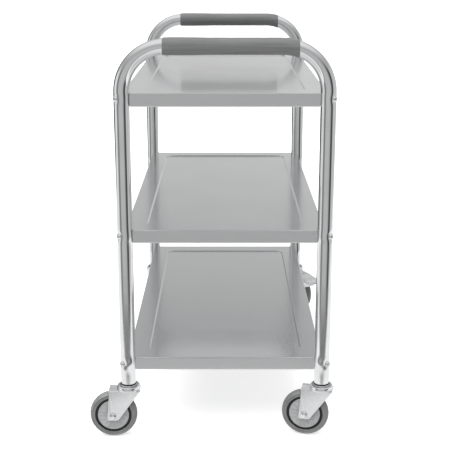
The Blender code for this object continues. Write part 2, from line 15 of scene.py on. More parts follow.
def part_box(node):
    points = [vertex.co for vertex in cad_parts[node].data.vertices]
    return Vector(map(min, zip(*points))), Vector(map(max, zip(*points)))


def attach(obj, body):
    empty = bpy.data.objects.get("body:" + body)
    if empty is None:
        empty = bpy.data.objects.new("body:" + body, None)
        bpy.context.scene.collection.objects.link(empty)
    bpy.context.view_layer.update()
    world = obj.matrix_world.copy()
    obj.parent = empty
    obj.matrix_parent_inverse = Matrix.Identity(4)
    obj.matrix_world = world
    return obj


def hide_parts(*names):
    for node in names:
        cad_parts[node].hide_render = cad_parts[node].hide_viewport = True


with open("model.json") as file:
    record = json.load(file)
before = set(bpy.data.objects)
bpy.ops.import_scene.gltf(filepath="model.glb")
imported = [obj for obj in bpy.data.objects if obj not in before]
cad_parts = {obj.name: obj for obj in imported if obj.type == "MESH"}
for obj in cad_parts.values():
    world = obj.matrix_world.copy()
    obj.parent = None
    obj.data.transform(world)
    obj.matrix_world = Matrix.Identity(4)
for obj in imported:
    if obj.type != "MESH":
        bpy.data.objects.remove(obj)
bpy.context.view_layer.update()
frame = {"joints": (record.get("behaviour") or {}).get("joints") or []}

LEVELS = ("bottom", "middle", "top")
CORNERS = ("front_left", "front_right", "rear_left", "rear_right")
BRAKED = ("rear_left", "rear_right")
JOINTS = {joint["name"]: joint for joint in frame["joints"]}
GAP = 0.0003
SHARP = radians(38)

# The hoops, from their own solids.
HOOP_LOW, HOOP_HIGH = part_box("front_hoop")
TUBE_RADIUS = (HOOP_HIGH.y - HOOP_LOW.y) / 2
LEG_X = HOOP_HIGH.x - TUBE_RADIUS
LEG_Y = -(HOOP_HIGH.y + HOOP_LOW.y) / 2
LEG_BOTTOM_Z = HOOP_LOW.z
HANDLE_AXIS_Z = HOOP_HIGH.z - TUBE_RADIUS
TUBE_WALL = 0.0015
TUBE_SIDES = 48
BEND_RADIUS = 0.0906
BEND_STEP = radians(3)
MOUTH_DEPTH = 0.040
MOUTH_CHAMFER = 0.0004

# Where each bolt has pressed the tube in, and how far it swells beside the bolt.
BOLT_HEIGHTS = [sum(corner.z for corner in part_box(f"{level}_shelf_bolt_front_left")) / 2 for level in LEVELS]
BOLT_ANGLE = radians(45)
DENT_DEPTH = 0.0012
DENT_SPREAD = 0.0055
SWELL = 0.0006
SWELL_SPREAD = 0.0085
PRESSED_REACH = 0.024
FINE_STEP = 0.002
COARSE_STEP = 0.030

# The grips. Their rings are close together at both ends and even between them.
GRIP_RADIUS = (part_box("front_grip")[1].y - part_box("front_grip")[0].y) / 2
GRIP_LEFT_TURN = radians(5)
GRIP_RIGHT_TURN = radians(20)
GRIP_EDGE = 0.0011
GRIP_SLACK = 0.0008
GRIP_EDGE_LENGTH = 0.0009
GRIP_END_RINGS = [0, 0.0004, 0.0012, 0.0026]
GRIP_EVEN_START = 0.006
GRIP_EVEN_STEPS = 60
GRIP_FULLEST = 0.12
GRIP_FULL_SPREAD = 0.16
GRIP_SQUARE_LENGTH = 0.030

# The shelves.
SHELF_TOPS = {level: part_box(f"{level}_shelf")[1].z for level in LEVELS}
SHELF_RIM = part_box("top_shelf")[1].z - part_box("top_shelf")[0].z
SHELF_SHEET = 0.0012
SHELF_LIP = 0.009
SHELF_EDGE_RADIUS = 0.0022
SHELF_CORNER_STEPS = 14
SUPPORT = 0.0006
LEG_NOTCH = TUBE_RADIUS + GAP
PANEL_INSET_X = 0.041
PANEL_INSET_Y = 0.0435
PANEL_CORNER = 0.018
PANEL_STEP_WIDTH = 0.003
PANEL_DEPTH = 0.0025
PANEL_STEPS = 8

# The shelf bolts and the nuts welded behind the shelf's corners.
BOLT_RADIUS = 0.003
BOLT_HEAD_RADIUS = 0.0062
BOLT_HEAD_HEIGHT = 0.0042
SOCKET_RADIUS = 0.0022
SOCKET_DEPTH = 0.0018
NUT_RADIUS = 0.0055
NUT_INNER = 0.0169
NUT_OUTER = 0.0222

# The casters, in their own frames. The toes are (trail, height, corner radius) points of a side plate's foot.
WHEEL_CENTRE_Z = JOINTS["front_left_wheel_spin"]["pos_m"][2]
STEM_RADIUS = 0.0055
STEM_TOP_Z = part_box("front_left_swivel_stem")[1].z
BUSH_TOP_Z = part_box("front_left_leg_bush")[1].z
COLLAR_BOTTOM_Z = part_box("front_left_leg_bush")[0].z
COLLAR_RADIUS = 0.0174
UPPER_RACE_RADIUS = 0.0182
UPPER_RACE_SHEET = 0.0047
BALL_CIRCLE_RADIUS = 0.0125
BALL_COUNT = 14
CAGE_HALF_WIDTH = 0.003
CAGE_HALF_SHEET = 0.0005
KINGPIN_RADIUS = 0.006
RIVET_RADIUS = 0.009
RIVET_HEIGHT = 0.004
CUP_RADIUS = 0.025
CUP_MOUTH_RADIUS = 0.0197
CUP_TOP_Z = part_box("front_left_race_cup")[1].z
CUP_SHEET = 0.002
CROWN_TOP_Z = 0.1085
CROWN_FRONT = -0.025
CROWN_REAR = 0.042
CROWN_TAPER = 0.0015
FORK_SHEET = 0.0025
FORK_HALF_WIDTH = 0.018
FORK_FOLD_RADIUS = 0.003
FORK_TOES = [(0.046, 0.0415, 0.004), (0.0225, 0.0415, 0.008)]
BRAKED_FORK_TOES = [(0.046, 0.0415, 0.004), (0.017, 0.0415, 0.008)]
TRAIL = 0.0335
AXLE_RADIUS = 0.004
AXLE_HEAD_RADIUS = 0.0075
AXLE_HEAD_HEIGHT = 0.0042
AXLE_END = 0.0085
AXLE_NUT_RADIUS = 0.0073
AXLE_NUT_HEIGHT = 0.0065
WHEEL_RADIUS = WHEEL_CENTRE_Z
WHEEL_STEPS = 192
HUB_FACE_RADIUS = 0.0332
HUB_FACE_W = 0.0112
HUB_RIBS = 16
HUB_RIB_HEIGHT = 0.0009
HUB_RIB_SPREAD = 0.0008
HUB_RIB_INNER = 0.0125
HUB_RIB_OUTER = 0.0300
RIM_RADIUS = 0.0392
RIM_W = 0.0070

# The brake on each rear caster.
PIN_U = 0.070
PIN_Z = JOINTS["rear_left_brake_pivot"]["pos_m"][2]
PIN_RADIUS = 0.0025
PIN_HEAD_RADIUS = 0.0042
PIN_HEAD_HEIGHT = 0.0015
EAR_SHOULDER = (0.044, 0.1025, 0)
EAR_ROOT = (0.0435, 0.079, 0)
EAR_REACH = 0.007
EAR_RISE = 0.008
EAR_FALL = 0.007
EAR_ROUNDING = 0.006
PEDAL_SHEET = 0.0018
PEDAL_NECK_START = 0.045
PEDAL_NECK_END = 0.090
PEDAL_FLARE = 0.012
PEDAL_TIP = 0.126
PEDAL_HALF_WIDTH = 0.028
PEDAL_NECK_HALF_WIDTH = FORK_HALF_WIDTH + 2 * GAP + PEDAL_SHEET
PEDAL_TIP_CHAMFER = 0.006
PEDAL_TOP_Z = 0.108
PEDAL_SLOPE = radians(2)
PEDAL_SKIRT = 0.005
PEDAL_EYE = [(0.020, 0, 0), (0.009, -0.0075, 0.006), (-0.009, -0.0075, 0.006), (-0.012, 0.004, 0)]
PEDAL_RIDGES = (0.104, 0.110, 0.116)
RIDGE_RADIUS = 0.0013
SHOE_SHEET = 0.003
SHOE_TOP_U = 0.014
SHOE_FOOT = (0.0098, 0, -0.0125)

# The camera stands in front of the trolley, a little above its handles, and looks down its length.
CAMERA_DISTANCE = 1.8935
CAMERA_HEIGHT = 1.0118
CAMERA_PITCH = radians(13.74)
CAMERA_LENS = 76.5
CAMERA_SHIFT = -0.08

# The studio: brightness round the horizon as (degrees right of the camera's side, brightness) points.
STUDIO_BANDS = [
    (-180, 0.66),
    (-164, 0.62),
    (-158, 0.06),
    (-116, 0.06),
    (-108, 0.80),
    (-76, 0.84),
    (-68, 0.40),
    (-60, 0.24),
    (-46, 0.22),
    (-38, 0.50),
    (0, 0.52),
    (24, 0.47),
    (34, 0.20),
    (44, 0.06),
    (58, 0.07),
    (68, 0.55),
    (104, 0.60),
    (150, 0.60),
    (165, 0.75),
    (180, 0.66),
]
WALL_START = 0.18
WALL_END = 0.42
WALL_BRIGHTNESS = 0.44
SKY_START = 0.50
SKY_END = 0.85
SKY_BRIGHTNESS = 0.85

# Below the horizon the room's floor runs from dim to white. The white comes nearer straight ahead.
DIM_FLOOR = 0.21
DIM_START = 0.340
DIM_END = 0.370
WHITE_FLOOR = 0.97
WHITE_START = 0.296
WHITE_END = 0.312
WHITE_LEAN = 0.138
NEAR_START = 0.500
NEAR_END = 0.580
NEAR_SHARE = 0.45

SUN_STRENGTH = 3.6
SUN_ANGLE = radians(70)
SUN_TILT = (radians(12), radians(-14), 0)
FLOOR_GLOW = 0.60
FLOOR_SIZE = 60.0


# Mesh helpers


def mesh_of(bm):
    mesh = bpy.data.meshes.new("shape")
    bm.to_mesh(mesh)
    bm.free()
    return mesh


def lofted(bm, rings, cyclic=False, slot_of=None):
    """A skin through rings of points, with a cap on each end unless it is cyclic.

    Its UV map runs round the ring in U and along the rings in V, both in metres.
    """
    uv = bm.loops.layers.uv.verify()
    loops = [[bm.verts.new(point) for point in ring] for ring in rings]
    count = len(rings[0])
    along = [0.0]
    for before, after in zip(rings, rings[1:]):
        along.append(along[-1] + (Vector(after[0]) - Vector(before[0])).length)
    girth = sum((Vector(rings[0][i]) - Vector(rings[0][i - 1])).length for i in range(count))
    pairs = [(row, row + 1) for row in range(len(loops) - 1)]
    if cyclic:
        pairs.append((len(loops) - 1, 0))
        along.append(along[-1])
    for row, after in pairs:
        for index in range(count):
            following = (index + 1) % count
            corners = (
                (loops[row][index], index, row),
                (loops[row][following], index + 1, row),
                (loops[after][following], index + 1, row + 1),
                (loops[after][index], index, row + 1),
            )
            face = bm.faces.new([corner[0] for corner in corners])
            for loop, (_, around, place) in zip(face.loops, corners):
                loop[uv].uv = (girth * around / count, along[min(place, len(along) - 1)])
            if slot_of is not None:
                face.material_index = slot_of(row)
    if not cyclic:
        bm.faces.new(reversed(loops[0]))
        bm.faces.new(loops[-1])
    return loops


def skinned(rings, cyclic=False, slot_of=None):
    """A closed mesh through rings of points, its faces turned outwards."""
    bm = bmesh.new()
    lofted(bm, rings, cyclic, slot_of)
    bmesh.ops.recalc_face_normals(bm, faces=bm.faces)
    return mesh_of(bm)


def shaped_ring(radius_at, height_at, steps):
    """A ring about local Z. Its radius and height follow the angle round it."""
    angles = [2 * pi * step / steps for step in range(steps)]
    return [Vector((radius_at(a) * cos(a), radius_at(a) * sin(a), height_at(a))) for a in angles]


def turned(profile, steps, closed=False):
    """A turned shape about local Z through (radius, height) points."""
    rings = [shaped_ring(lambda a: radius, lambda a: height, steps) for radius, height in profile]
    return skinned(rings, closed)


def rounded(corners, steps=6):
    """The points through (x, y, radius) corners, each corner rounded to its radius by an arc."""
    outline = []
    for index, (x, y, radius) in enumerate(corners):
        corner = Vector((x, y))
        if radius == 0:
            outline.append(corner)
            continue
        before = (Vector(corners[index - 1][:2]) - corner).normalized()
        after = (Vector(corners[(index + 1) % len(corners)][:2]) - corner).normalized()
        half = before.angle(after) / 2
        centre = corner + (before + after).normalized() * (radius / sin(half))
        start = corner + before * (radius / tan(half)) - centre
        sweep = start.angle_signed(corner + after * (radius / tan(half)) - centre)
        for step in range(steps + 1):
            outline.append(centre + Matrix.Rotation(-sweep * step / steps, 2) @ start)
    return outline


def facing(direction):
    """The turn that points local Z in a direction."""
    return direction.to_track_quat("Z", "Y").to_matrix().to_4x4()


def both_sides(half):
    """A profile of (radius, height) points, then its mirror image across height 0."""
    return half + [(radius, -height) for radius, height in reversed(half) if height]


def hexagonal(angle, flat_radius):
    """The radius of a hexagon at an angle, from the radius to the middle of its sides."""
    return flat_radius / cos((angle + pi / 6) % (pi / 3) - pi / 6)


def new_object(name, data):
    obj = bpy.data.objects.new(name, data)
    bpy.context.scene.collection.objects.link(obj)
    return obj


def add_bevel(blank, width, segments, limit):
    bevel = blank.modifiers.new("edges", "BEVEL")
    bevel.width = width
    bevel.segments = segments
    bevel.limit_method = "ANGLE"
    bevel.angle_limit = limit


def thickened(blank, thickness):
    """The blank's skin as a sheet, with the thickness on its inner side. The blank is used up."""
    solidify = blank.modifiers.new("sheet", "SOLIDIFY")
    solidify.thickness = thickness
    solidify.offset = -1
    solidify.use_even_offset = True
    return baked(blank)


def baked(obj):
    """The object's shape with its modifiers applied. The object itself is used up."""
    graph = bpy.context.evaluated_depsgraph_get()
    graph.update()
    mesh = bpy.data.meshes.new_from_object(obj.evaluated_get(graph), depsgraph=graph)
    bpy.data.objects.remove(obj)
    return mesh


def combined(mesh, tools, operation):
    """The mesh after a Boolean with each tool mesh in turn."""
    body = new_object("blank", mesh)
    cutters = [new_object("tool", tool) for tool in tools]
    for cutter in cutters:
        boolean = body.modifiers.new("combine", "BOOLEAN")
        boolean.operation = operation
        boolean.solver = "EXACT"
        boolean.object = cutter
    result = baked(body)
    for cutter in cutters:
        bpy.data.objects.remove(cutter)
    return result


def softened(mesh, width):
    """The mesh with its sharp edges rounded over."""
    blank = new_object("blank", mesh)
    add_bevel(blank, width, 2, radians(50))
    return baked(blank)


def rod(radius, start, end):
    start, end = Vector(start), Vector(end)
    run = end - start
    rod_mesh = turned([(radius, 0), (radius, run.length)], 32)
    rod_mesh.transform(Matrix.Translation(start) @ facing(run))
    return rod_mesh


def joined(meshes):
    """One mesh that holds several, each already in its place."""
    bm = bmesh.new()
    for mesh in meshes:
        bm.from_mesh(mesh)
    return mesh_of(bm)


def show(node, mesh, materials, body, slot, matrix=Matrix()):
    """The finished piece that stands for a CAD node: placed, shaded and riding on its body."""
    piece = new_object(f"{node}_detail", mesh)
    if not mesh.materials:
        for material in materials:
            mesh.materials.append(material)
        mesh.shade_smooth()
        mesh.set_sharp_from_angle(angle=SHARP)
    piece.matrix_world = matrix
    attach(piece, body)
    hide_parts(node)
    return piece


# Materials


def grey(level, blue=1.02):
    """A grey that leans a little towards blue, or a plain one where blue is 1."""
    return (level, level * (1 + blue) / 2, level * blue, 1)


def new_material(name, colour, metallic, roughness):
    material = bpy.data.materials.new(name)
    material.use_nodes = True
    tree = material.node_tree
    shader = tree.nodes["Principled BSDF"]
    shader.inputs["Base Color"].default_value = colour
    shader.inputs["Metallic"].default_value = metallic
    shader.inputs["Roughness"].default_value = roughness
    return material, tree, shader


def noise(tree, scale, stretch=(1, 1, 1), detail=4.0, source="Object"):
    """A noise value over the piece. The stretch packs it more closely along an axis."""
    place = tree.nodes.new("ShaderNodeTexCoord")
    mapping = tree.nodes.new("ShaderNodeMapping")
    texture = tree.nodes.new("ShaderNodeTexNoise")
    mapping.inputs["Scale"].default_value = stretch
    texture.inputs["Scale"].default_value = scale
    texture.inputs["Detail"].default_value = detail
    tree.links.new(place.outputs[source], mapping.inputs["Vector"])
    tree.links.new(mapping.outputs["Vector"], texture.inputs["Vector"])
    return texture.outputs["Fac"]


def cells(tree, scale):
    """A value that is even over each small crystal of the surface."""
    place = tree.nodes.new("ShaderNodeTexCoord")
    texture = tree.nodes.new("ShaderNodeTexVoronoi")
    texture.inputs["Scale"].default_value = scale
    tree.links.new(place.outputs["Object"], texture.inputs["Vector"])
    split = tree.nodes.new("ShaderNodeSeparateColor")
    tree.links.new(texture.outputs["Color"], split.inputs["Color"])
    return split.outputs["Red"]


def ranged(tree, value, low, high, start=0.3, end=0.7):
    """The value's middle range drawn out to run from low to high."""
    span = tree.nodes.new("ShaderNodeMapRange")
    span.inputs["From Min"].default_value = start
    span.inputs["From Max"].default_value = end
    span.inputs["To Min"].default_value = low
    span.inputs["To Max"].default_value = high
    tree.links.new(value, span.inputs["Value"])
    return span.outputs["Result"]


def feed(tree, value, socket):
    """Gives a socket its value: another node's result, or a plain number or colour."""
    if isinstance(value, bpy.types.NodeSocket):
        tree.links.new(value, socket)
    else:
        socket.default_value = value


def worked_out(tree, operation, first, second):
    node = tree.nodes.new("ShaderNodeMath")
    node.operation = operation
    feed(tree, first, node.inputs[0])
    feed(tree, second, node.inputs[1])
    return node.outputs["Value"]


def mixed(tree, share, first, second):
    """Runs from the first colour to the second as the share goes from 0 to 1."""
    mix = tree.nodes.new("ShaderNodeMix")
    mix.data_type = "RGBA"
    feed(tree, share, mix.inputs["Factor"])
    feed(tree, first, mix.inputs["A"])
    feed(tree, second, mix.inputs["B"])
    return mix.outputs["Result"]


def shade(tree, shader, value, dark, light):
    """Runs the base colour from dark to light with the value."""
    tree.links.new(mixed(tree, value, dark, light), shader.inputs["Base Color"])


def dull(tree, shader, value, low, high):
    """Runs the roughness from low to high over the value's middle range."""
    tree.links.new(ranged(tree, value, low, high), shader.inputs["Roughness"])


def bump(tree, shader, value, height, strength):
    """Raises the surface by the value, on top of any bump that the shader already has."""
    node = tree.nodes.new("ShaderNodeBump")
    node.inputs["Distance"].default_value = height
    node.inputs["Strength"].default_value = strength
    tree.links.new(value, node.inputs["Height"])
    already = shader.inputs["Normal"]
    if already.is_linked:
        tree.links.new(already.links[0].from_socket, node.inputs["Normal"])
    tree.links.new(node.outputs["Normal"], already)


def polished_tube():
    """Belt-polished stainless tube: fine lines round it, a few dull smears."""
    material, tree, shader = new_material("polished_tube", grey(0.84), 1.0, 0.08)
    lines = noise(tree, 1.0, stretch=(8, 2600, 1), detail=3.0, source="UV")
    smears = noise(tree, 14.0, detail=5.0)
    shade(tree, shader, ranged(tree, smears, 0, 1), grey(0.79), grey(0.88))
    dull(tree, shader, smears, 0.13, 0.06)
    bump(tree, shader, lines, 0.00002, 0.2)
    return material


def satin_sheet():
    """Satin stainless sheet: a very fine grain across the shelf, soft waves and a few duller patches.

    A thin clear layer gives it the sharper shine that ground steel has when it is seen along its face.
    """
    material, tree, shader = new_material("satin_sheet", grey(0.72), 1.0, 0.24)
    grain = noise(tree, 1.0, stretch=(10, 1500, 1500), detail=4.0)
    marks = noise(tree, 7.0, detail=5.0)
    waves = noise(tree, 4.0, detail=1.0)
    shade(tree, shader, ranged(tree, grain, 0, 1), grey(0.70), grey(0.745))
    dull(tree, shader, marks, 0.27, 0.21)
    shader.inputs["Coat Weight"].default_value = 0.7
    shader.inputs["Coat Roughness"].default_value = 0.09
    bump(tree, shader, waves, 0.0010, 0.3)
    bump(tree, shader, grain, 0.00001, 0.2)
    return material


def zinc_plate(name, roughness, relief):
    """Zinc plating over pressed steel: faint crystals, soft drawing marks and dull patches."""
    material, tree, shader = new_material(name, grey(0.92), 1.0, roughness)
    crystals = cells(tree, 420.0)
    patches = noise(tree, 60.0, detail=6.0)
    dulled = worked_out(tree, "MULTIPLY", crystals, ranged(tree, patches, 0.4, 1))
    shade(tree, shader, dulled, grey(0.95), grey(0.88))
    dull(tree, shader, patches, roughness * 1.2, roughness * 0.8)
    bump(tree, shader, noise(tree, 900.0, detail=3.0), relief, 0.3)
    return material


def bearing_steel():
    material, tree, shader = new_material("bearing_steel", grey(0.62), 1.0, 0.12)
    oil = noise(tree, 300.0, detail=3.0)
    shade(tree, shader, ranged(tree, oil, 0, 1), grey(0.50), grey(0.66))
    dull(tree, shader, oil, 0.08, 0.22)
    return material


def foam_sleeve():
    """Grey closed-cell foam: tiny pores, faint lengthwise streaks from the mould, worn smoother in places."""
    material, tree, shader = new_material("foam_sleeve", grey(0.14), 0.0, 0.7)
    pores = noise(tree, 1900.0, detail=2.0)
    streaks = noise(tree, 1.0, stretch=(9, 260, 260), detail=4.0)
    wear = noise(tree, 40.0, detail=4.0)
    shade(tree, shader, ranged(tree, streaks, 0, 1), grey(0.125), grey(0.165))
    dull(tree, shader, wear, 0.60, 0.80)
    shader.inputs["Sheen Weight"].default_value = 0.15
    bump(tree, shader, streaks, 0.0002, 0.25)
    bump(tree, shader, pores, 0.00012, 0.6)
    return material


def tyre_rubber():
    """Grey non-marking rubber with a matt moulded skin and scuffs."""
    material, tree, shader = new_material("tyre_rubber", grey(0.20), 0.0, 0.42)
    skin = noise(tree, 1200.0, detail=3.0)
    scuffs = noise(tree, 55.0, detail=6.0)
    shade(tree, shader, ranged(tree, scuffs, 0, 1), grey(0.16), grey(0.22))
    dull(tree, shader, scuffs, 0.36, 0.50)
    bump(tree, shader, skin, 0.00006, 0.5)
    return material


def moulded_plastic(name, dark, light, roughness):
    """Moulded plastic with a fine spark-eroded texture and slight flow marks."""
    material, tree, shader = new_material(name, grey(dark), 0.0, roughness)
    flow = noise(tree, 70.0, detail=3.0)
    shade(tree, shader, ranged(tree, flow, 0, 1), grey(dark), grey(light))
    dull(tree, shader, flow, roughness - 0.06, roughness + 0.08)
    bump(tree, shader, noise(tree, 2400.0, detail=2.0), 0.00004, 0.4)
    return material


# The frame: hoops, grips, shelves and bolts


def bend_height():
    """The height at which a leg ends and its bend begins."""
    return HANDLE_AXIS_Z - BEND_RADIUS


def leg_heights():
    """The heights of the rings up a leg, close together where a bolt has pressed the tube."""
    heights = []
    height = LEG_BOTTOM_Z + MOUTH_CHAMFER
    while height < bend_height() - FINE_STEP:
        heights.append(height)
        clear = min(abs(height + FINE_STEP - bolt) for bolt in BOLT_HEIGHTS) - PRESSED_REACH
        height += min(max(clear, FINE_STEP), COARSE_STEP)
    return heights


def bend_point(side, turn):
    """The centre line's (x, z) where a bend has turned by this angle from the handle."""
    straight = LEG_X - BEND_RADIUS
    return (side * (straight + BEND_RADIUS * sin(turn)), HANDLE_AXIS_Z - BEND_RADIUS * (1 - cos(turn)))


def hoop_stations():
    """The hoop's centre line from the left foot to the right foot, as (x, z, turn) stations.

    The turn is the outward side's angle from straight up, positive to the right.
    """
    legs = [(LEG_X, height, pi / 2) for height in leg_heights()]
    steps = ceil(pi / 2 / BEND_STEP)
    bend = []
    for step in range(steps, -1, -1):
        turn = pi / 2 * step / steps
        bend.append((*bend_point(1, turn), turn))
    right = legs + bend
    left = [(-x, z, -turn) for x, z, turn in right]
    return left + right[::-1]


def pressed(height, angle):
    """How far the tube's wall stands out of round at a height on a leg, at an angle round it."""
    away = (angle - BOLT_ANGLE + pi) % (2 * pi) - pi
    change = 0.0
    for bolt in BOLT_HEIGHTS:
        rise = height - bolt
        reach = (away * TUBE_RADIUS) ** 2 + rise ** 2
        change -= DENT_DEPTH * exp(-reach / (2 * DENT_SPREAD ** 2))
        change += SWELL * sin(away) ** 2 * exp(-(rise ** 2) / (2 * SWELL_SPREAD ** 2))
    return change


def tube_ring(x, z, turn, radius, on_leg=False, square=0.0):
    """A ring of the front hoop's tube. Its seam is on the inner side, and angle 0 is the outward side.

    A square share turns the ring from square to the tube (0) to square to the handle's middle (1).
    """
    outward = Vector((sin(turn * (1 - square)), 0, cos(turn * (1 - square)))) / cos(turn * square)
    forward = Vector((0, -1, 0))
    ring = []
    for side in range(TUBE_SIDES):
        angle = pi + 2 * pi * side / TUBE_SIDES
        reach = radius + (pressed(z, angle) if on_leg else 0)
        ring.append(Vector((x, 0, z)) + reach * (cos(angle) * outward + sin(angle) * forward))
    return ring


def foot_rings(side):
    """The rings of a leg's mouth, from deep in its bore to the outer edge of its end."""
    bore = TUBE_RADIUS - TUBE_WALL
    edge = TUBE_RADIUS - MOUTH_CHAMFER
    places = [(LEG_BOTTOM_Z + MOUTH_DEPTH, bore), (LEG_BOTTOM_Z, bore), (LEG_BOTTOM_Z, edge)]
    return [tube_ring(side * LEG_X, height, side * pi / 2, radius) for height, radius in places]


def hoop_mesh():
    """The bent tube, open at both feet as far as its bushes reach."""
    rings = [tube_ring(x, z, turn, TUBE_RADIUS, abs(turn) == pi / 2) for x, z, turn in hoop_stations()]
    return skinned(foot_rings(-1) + rings + foot_rings(1)[::-1])


def grip_stations():
    """(x, z, turn, distance) stations from the grip's left end to its right end, and the grip's length."""
    straight = LEG_X - BEND_RADIUS
    left_arc = BEND_RADIUS * GRIP_LEFT_TURN
    length = left_arc + 2 * straight + BEND_RADIUS * GRIP_RIGHT_TURN
    even = length - 2 * GRIP_EVEN_START
    inner = [GRIP_EVEN_START + even * step / GRIP_EVEN_STEPS for step in range(GRIP_EVEN_STEPS + 1)]
    stations = []
    for along in GRIP_END_RINGS + inner + [length - end for end in reversed(GRIP_END_RINGS)]:
        place = along - left_arc - straight
        if abs(place) > straight:
            side = copysign(1, place)
            turn = (abs(place) - straight) / BEND_RADIUS
            stations.append((*bend_point(side, turn), side * turn, along))
        else:
            stations.append((place, HANDLE_AXIS_Z, 0, along))
    return stations, length


def grip_radius(along, length):
    """The sleeve's radius: rounded at its ends, fullest near the left one, slack along the middle."""
    edge = min(along, length - along)
    rounding = GRIP_EDGE * exp(-edge / GRIP_EDGE_LENGTH)
    share = along / length
    slack = GRIP_SLACK * (1 - exp(-((share - GRIP_FULLEST) / GRIP_FULL_SPREAD) ** 2))
    ripple = 0.00012 * sin(23 * share) + 0.00008 * sin(57 * share + 1)
    return GRIP_RADIUS - rounding - slack - abs(ripple)


def grip_mesh():
    """The sleeve on the handle. Each end is cut square to the handle's middle, not to the bend."""
    stations, length = grip_stations()
    outer = []
    inner = []
    for x, z, turn, along in stations:
        square = max(0.0, 1 - min(along, length - along) / GRIP_SQUARE_LENGTH)
        outer.append(tube_ring(x, z, turn, grip_radius(along, length), square=square))
        inner.append(tube_ring(x, z, turn, TUBE_RADIUS + GAP / 3, square=square))
    return skinned(outer + inner[::-1], cyclic=True)


def shelf_corners():
    """The shelf's four corners, anticlockwise from the front left, with the angle each has turned."""
    for index, (side_x, side_y) in enumerate(((-1, -1), (1, -1), (1, 1), (-1, 1))):
        yield Vector((side_x * LEG_X, side_y * LEG_Y)), index * pi / 2


def notched_outline(inset):
    """The shelf's plan, moved in from its edge by the inset, hollowed round a leg at each corner."""
    radius = LEG_NOTCH + inset
    trim = asin(inset / radius)
    outline = []
    for corner, turn in shelf_corners():
        for step in range(SHELF_CORNER_STEPS + 1):
            angle = turn + pi / 2 - trim - (pi / 2 - 2 * trim) * step / SHELF_CORNER_STEPS
            outline.append(corner + radius * Vector((cos(angle), sin(angle))))
    return outline


def panel_outline(inset):
    """The plan of the sunken panel, moved in by the inset: a rectangle with rounded corners."""
    outline = []
    panel_x = LEG_X - PANEL_INSET_X - PANEL_CORNER
    panel_y = LEG_Y - PANEL_INSET_Y - PANEL_CORNER
    for corner, turn in shelf_corners():
        centre = Vector((copysign(panel_x, corner.x), copysign(panel_y, corner.y)))
        for step in range(SHELF_CORNER_STEPS + 1):
            angle = turn + pi + pi / 2 * step / SHELF_CORNER_STEPS
            outline.append(centre + (PANEL_CORNER - inset) * Vector((cos(angle), sin(angle))))
    return outline


def shelf_sections():
    """The pan's (outline, height) sections from its lip, up its rim, over its edge and into its panel."""
    sections = [(notched_outline(SHELF_LIP), -SHELF_RIM), (notched_outline(SHELF_EDGE_RADIUS), -SHELF_RIM)]
    for degrees_up in (30, 60, 90):
        bend = SHELF_EDGE_RADIUS * (1 - sin(radians(degrees_up)))
        rise = SHELF_EDGE_RADIUS * (1 - cos(radians(degrees_up)))
        sections.append((notched_outline(bend), -SHELF_RIM + rise))
    sections.append((notched_outline(0), -SHELF_RIM + SHELF_EDGE_RADIUS + SUPPORT))
    sections.append((notched_outline(0), -SHELF_EDGE_RADIUS - SUPPORT))
    for degrees_over in (0, 22.5, 45, 67.5, 90):
        bend = SHELF_EDGE_RADIUS * (1 - cos(radians(degrees_over)))
        drop = SHELF_EDGE_RADIUS * (1 - sin(radians(degrees_over)))
        sections.append((notched_outline(bend), -drop))
    sections.append((notched_outline(SHELF_EDGE_RADIUS + SUPPORT), 0))
    sections.append((panel_outline(-SUPPORT), 0))
    for step in range(PANEL_STEPS + 1):
        share = step / PANEL_STEPS
        ease = (1 - cos(pi * share)) / 2
        sections.append((panel_outline(PANEL_STEP_WIDTH * share), -PANEL_DEPTH * ease))
    sections.append((panel_outline(PANEL_STEP_WIDTH + SUPPORT), -PANEL_DEPTH))
    return sections


def shelf_sheet():
    bm = bmesh.new()
    rings = [[(*point, height) for point in outline] for outline, height in shelf_sections()]
    loops = lofted(bm, rings)
    lip = next(face for face in bm.faces if len(face.verts) > 4 and loops[0][0] in face.verts)
    bm.faces.remove(lip)
    return thickened(new_object("blank", mesh_of(bm)), SHELF_SHEET)


def hex_nut(radius, height, bore):
    """A nut with its corners turned off and a chamfered bore, from height 0 up. Its own axis is local Z."""
    flat = radius * cos(pi / 6)
    sections = [
        (lambda angle: bore, 0.06),
        (lambda angle: bore * 1.12, 0),
        (lambda angle: flat * 0.97, 0),
        (lambda angle: hexagonal(angle, flat), 0.10),
        (lambda angle: hexagonal(angle, flat), 0.90),
        (lambda angle: flat * 0.97, 1),
        (lambda angle: bore * 1.12, 1),
        (lambda angle: bore, 0.94),
    ]
    rings = [shaped_ring(radius_at, lambda angle: height * share, 72) for radius_at, share in sections]
    return skinned(rings, cyclic=True)


def shelf_mesh():
    """The pan with a nut welded behind each corner. Its top face is at height 0."""
    nut = hex_nut(NUT_RADIUS, NUT_OUTER - NUT_INNER, BOLT_RADIUS + GAP)
    parts = [shelf_sheet()]
    for corner, turn in shelf_corners():
        inward = Vector((cos(turn + pi / 4), sin(turn + pi / 4), 0))
        height = BOLT_HEIGHTS[0] - SHELF_TOPS["bottom"]
        place = Matrix.Translation(Vector((*corner, height)) + inward * NUT_INNER)
        copy = nut.copy()
        copy.transform(place @ facing(inward))
        parts.append(copy)
    return joined(parts)


